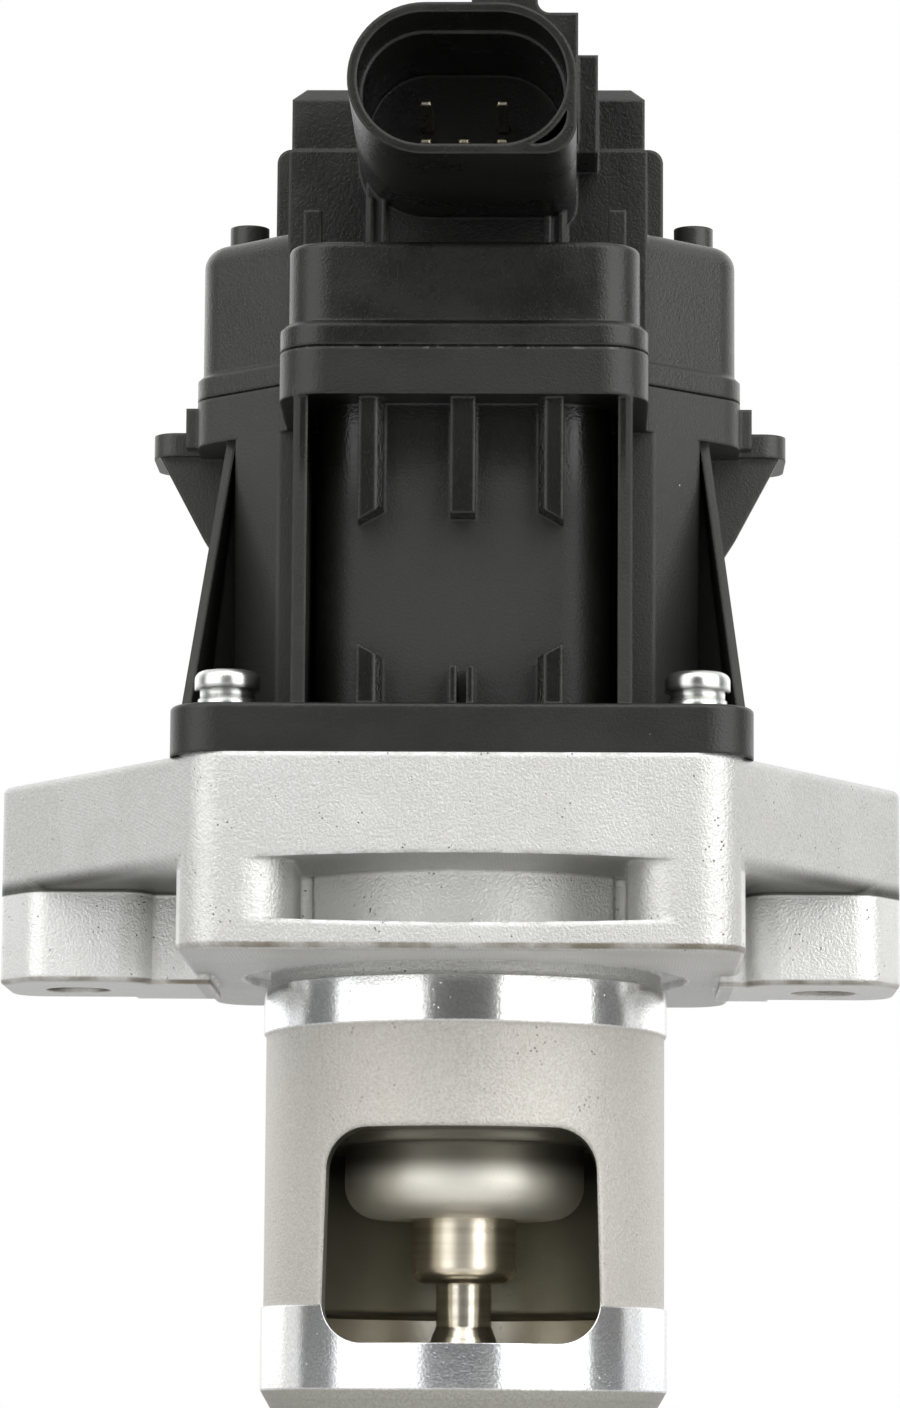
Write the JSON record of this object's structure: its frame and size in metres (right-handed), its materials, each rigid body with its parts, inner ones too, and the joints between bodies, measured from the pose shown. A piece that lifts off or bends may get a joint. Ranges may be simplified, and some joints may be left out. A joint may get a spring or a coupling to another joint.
{
  "type": "egr valve",
  "caption": "Electric exhaust gas recirculation valve: cast body with ears, windowed spigot and poppet valve under a plastic actuator with an oval connector.",
  "frame": {"origin": "on the valve axis, at the face of the ears that seats on the engine", "axes": "+Z along the valve axis up to the actuator; -Y to the mouth of the connector; X through the two bolt holes"},
  "size_m": [0.0976, 0.083, 0.149],
  "materials": {
    "cast_aluminium": "bead-blasted casting with machined bands",
    "valve_steel": "heat resistant steel, turned",
    "guide_steel": "ground steel",
    "black_plastic": "glass-filled, moulded",
    "cover_plastic": "glass-filled, moulded",
    "zinc_steel": "bright zinc",
    "pressed_steel": "zinc-plated sheet",
    "hard_steel": "ground",
    "spring_steel": "oiled wire",
    "core_steel": "laminated",
    "copper": "enamelled wire and bare segments",
    "bronze": "sintered, oil filled",
    "tinned_brass": "tinned",
    "magnet": "ferrite",
    "gear_plastic": "natural acetal",
    "output_plastic": "glass-filled",
    "fork_steel": "machined",
    "seal_rubber": "moulded",
    "board": "solder resist"
  },
  "bodies": {
    "valve_unit": {"valve_body": "cast_aluminium", "seat_ring": "valve_steel", "guide_bush": "guide_steel", "stem_seal": "seal_rubber", "return_spring": "spring_steel", "base_seal": "seal_rubber", "actuator_housing": "black_plastic", "screw_sleeves": "zinc_steel", "housing_screws": "zinc_steel", "motor_can": "pressed_steel", "motor_end_cap": "output_plastic", "motor_bearings": "bronze", "motor_magnets": "magnet", "motor_brushes": "magnet", "brush_arms": "tinned_brass", "idler_axle": "hard_steel", "output_shaft": "hard_steel", "thrust_washer": "fork_steel", "motor_plate": "pressed_steel", "plate_screws": "zinc_steel", "gear_cover": "cover_plastic", "cover_seal": "seal_rubber", "terminal_pins": "tinned_brass", "sensor_board": "board", "board_screws": "zinc_steel", "position_sensor": "output_plastic", "motor_terminals": "tinned_brass"},
    "rotor": {"motor_shaft": "hard_steel", "armature_core": "core_steel", "armature_windings": "copper", "commutator": "copper", "drive_pinion": "hard_steel"},
    "idler": {"idler_gear": "gear_plastic"},
    "output": {"output_gear": "output_plastic", "output_bush": "bronze", "magnet_carrier": "output_plastic", "sensor_magnet": "magnet"},
    "valve": {"poppet_valve": "valve_steel", "stem_collets": "hard_steel", "spring_retainer": "pressed_steel", "roller_fork": "fork_steel", "roller_pin": "hard_steel"},
    "roller": {"cam_roller": "hard_steel"}
  },
  "joints": [
    {"name": "rotor_spin", "type": "hinge", "parent": "valve_unit", "child": "rotor", "pos_m": [0, -0.0164, 0.06], "axis": [0, 0, 1], "range_deg": [0, 1638.2]},
    {"name": "idler_spin", "type": "hinge", "parent": "valve_unit", "child": "idler", "pos_m": [0.00877, -0.00806, 0.065], "axis": [0, 0, 1], "range_deg": [-546.2, 0]},
    {"name": "output_turn", "type": "hinge", "parent": "valve_unit", "child": "output", "pos_m": [0, 0.008, 0.065], "axis": [0, 0, 1], "range_deg": [0, 130.05]},
    {"name": "valve_lift", "type": "slide", "parent": "valve_unit", "child": "valve", "axis": [0, 0, -1], "range_m": [0, 0.0065], "stiffness_N_per_m": 2500, "springref_m": -0.006, "deforming": ["return_spring"]},
    {"name": "roller_spin", "type": "hinge", "parent": "valve", "child": "roller", "pos_m": [0, 0, 0.057], "axis": [0, 1, 0], "range_deg": [0, 260.5]}
  ],
  "couplings": [
    {"joint": "rotor_spin", "follows": "valve_lift", "rad_per_m": 4398.2},
    {"joint": "idler_spin", "follows": "valve_lift", "rad_per_m": -1466.1},
    {"joint": "output_turn", "follows": "valve_lift", "rad_per_m": 349.07},
    {"joint": "roller_spin", "follows": "valve_lift", "rad_per_m": 698.46}
  ]
}
